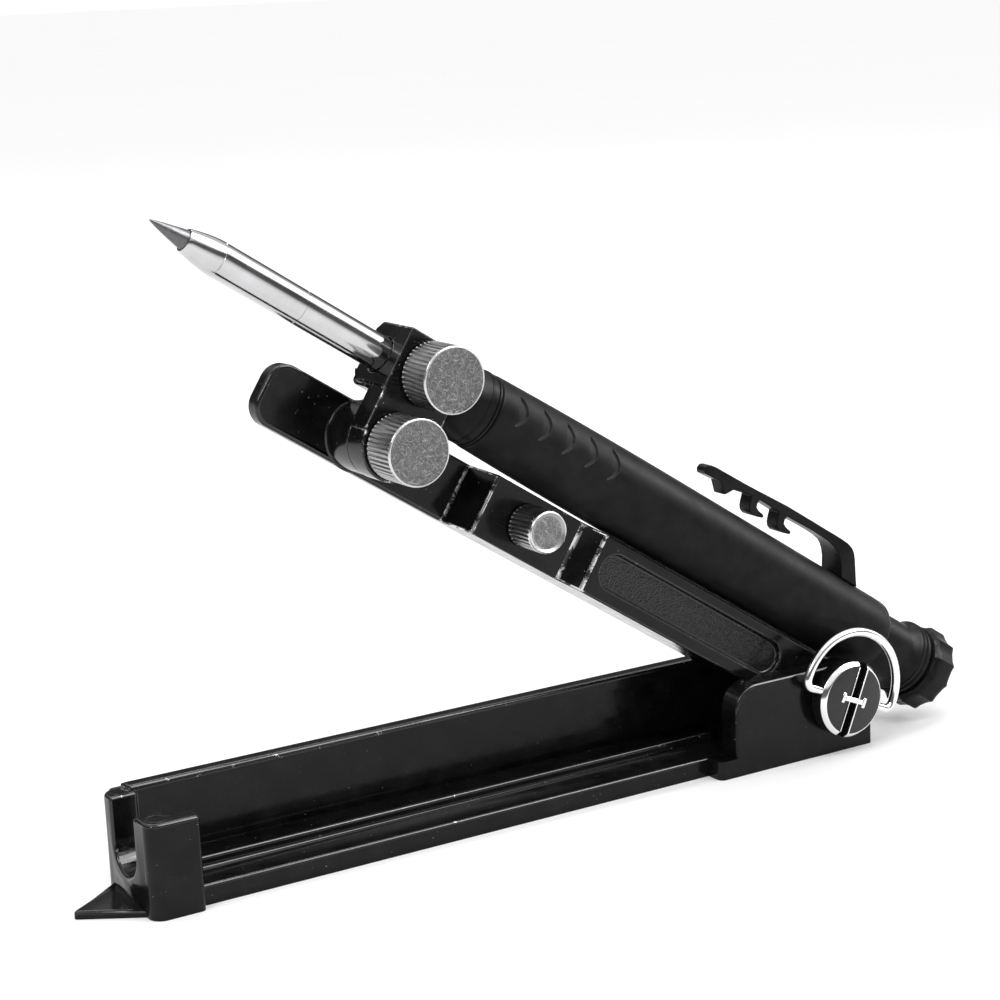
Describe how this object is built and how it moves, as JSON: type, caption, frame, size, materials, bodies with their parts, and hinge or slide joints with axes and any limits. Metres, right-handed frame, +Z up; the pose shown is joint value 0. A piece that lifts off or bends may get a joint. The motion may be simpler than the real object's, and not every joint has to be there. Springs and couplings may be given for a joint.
{
  "type": "folding scriber with mechanical pencil",
  "caption": "Folding scribing tool: slotted cast base channel, hinged arm with a pivoting clamp holder, and a deep-hole mechanical pencil with clip and fluted cap.",
  "frame": {"origin": "on the base's underside, straight below the hinge axis, at the mid-plane between the base's two long sides", "axes": "+X from the foot towards the hinge end, +Y towards the tall rear wall, +Z up; the hinge axis runs along Y at z = 9.3 mm"},
  "size_m": [0.155, 0.0238, 0.0951],
  "materials": {
    "base_paint": "glossy black enamel on a casting",
    "insert_brass": "machined",
    "screw_chrome": "bright plated",
    "face_black": "black radially brushed",
    "washer_steel": "flat washer",
    "ring_chrome": "bright plated wire",
    "arm_paint": "glossy black enamel",
    "washer_fibre": "smooth white",
    "thumb_steel": "knurled",
    "holder_paint": "glossy black with bright worn edges",
    "knob_steel": "straight knurl, scratched satin face",
    "stud_steel": "turned",
    "pad_brass": "turned",
    "tube_chrome": "bright plated",
    "ferrule_plastic": "satin black",
    "barrel_plastic": "satin black",
    "clip_plastic": "satin black",
    "graphite": "dark grey, slight sheen",
    "collet_brass": "turned",
    "carrier_steel": "drawn tube",
    "sleeve_plastic": "satin black",
    "spring_steel": "drawn wire",
    "cap_plastic": "satin black",
    "sharpener_plastic": "grey",
    "blade_steel": "ground"
  },
  "bodies": {
    "base": {"base_channel": "base_paint", "hinge_insert": "insert_brass"},
    "hinge_screw": {"hinge_screw": "screw_chrome", "screw_face": "face_black", "screw_washer": "washer_steel"},
    "d_ring": {"d_ring": "ring_chrome"},
    "arm": {"arm_bar": "arm_paint", "hinge_washer_front": "washer_fibre", "hinge_washer_rear": "washer_fibre"},
    "thumbscrew": {"thumbscrew": "thumb_steel"},
    "holder": {"holder_bracket": "holder_paint"},
    "pivot_knob": {"pivot_knob": "knob_steel", "pivot_stud": "stud_steel"},
    "clamp_knob": {"clamp_knob": "knob_steel", "clamp_stud": "stud_steel", "clamp_pad": "pad_brass"},
    "pencil": {"barrel": "barrel_plastic", "ferrule": "ferrule_plastic", "nose_tube": "tube_chrome", "pocket_clip": "clip_plastic", "return_spring": "spring_steel"},
    "lead": {"lead": "graphite"},
    "push_button": {"push_sleeve": "sleeve_plastic", "lead_tube": "carrier_steel", "collet": "collet_brass"},
    "cap": {"fluted_cap": "cap_plastic", "sharpener": "sharpener_plastic", "sharpener_blade": "blade_steel"}
  },
  "joints": [
    {"name": "arm_hinge", "type": "hinge", "parent": "base", "child": "arm", "pos_m": [0, 0, 0.0093], "axis": [0, 1, 0], "range_deg": [-31.5, 50]},
    {"name": "hinge_screw_turn", "type": "hinge", "parent": "base", "child": "hinge_screw", "pos_m": [0, -0.0113, 0.0093], "axis": [0, 1, 0], "range_deg": [-90, 90]},
    {"name": "d_ring_flip", "type": "hinge", "parent": "hinge_screw", "child": "d_ring", "pos_m": [0, -0.013, 0.0093], "axis": [0.9191, 0, -0.3939], "range_deg": [0, 150]},
    {"name": "thumbscrew_turn", "type": "hinge", "parent": "arm", "child": "thumbscrew", "pos_m": [-0.05424, -0.005, 0.04493], "axis": [0, 1, 0], "range_deg": [-180, 180]},
    {"name": "holder_pivot", "type": "hinge", "parent": "arm", "child": "holder", "pos_m": [-0.07751, -0.0043, 0.06069], "axis": [0, -1, 0], "range_deg": [0, 90]},
    {"name": "pivot_knob_turn", "type": "hinge", "parent": "arm", "child": "pivot_knob", "pos_m": [-0.07751, -0.009, 0.06069], "axis": [0, 1, 0], "range_deg": [-180, 180]},
    {"name": "clamp_knob_turn", "type": "hinge", "parent": "holder", "child": "clamp_knob", "pos_m": [-0.07136, -0.009, 0.07005], "axis": [0, 1, 0], "range_deg": [-180, 180]},
    {"name": "pencil_slide", "type": "slide", "parent": "holder", "child": "pencil", "axis": [-0.8358, 0, 0.549], "range_m": [-0.028, 0.0002]},
    {"name": "lead_slide", "type": "slide", "parent": "pencil", "child": "lead", "axis": [-0.8358, 0, 0.549], "range_m": [-0.005, 0.015]},
    {"name": "push_button_slide", "type": "slide", "parent": "pencil", "child": "push_button", "axis": [-0.8358, 0, 0.549], "range_m": [0, 0.003], "stiffness_N_per_m": 400},
    {"name": "cap_pull", "type": "slide", "parent": "push_button", "child": "cap", "axis": [0.8358, 0, -0.549], "range_m": [0, 0.012]}
  ]
}
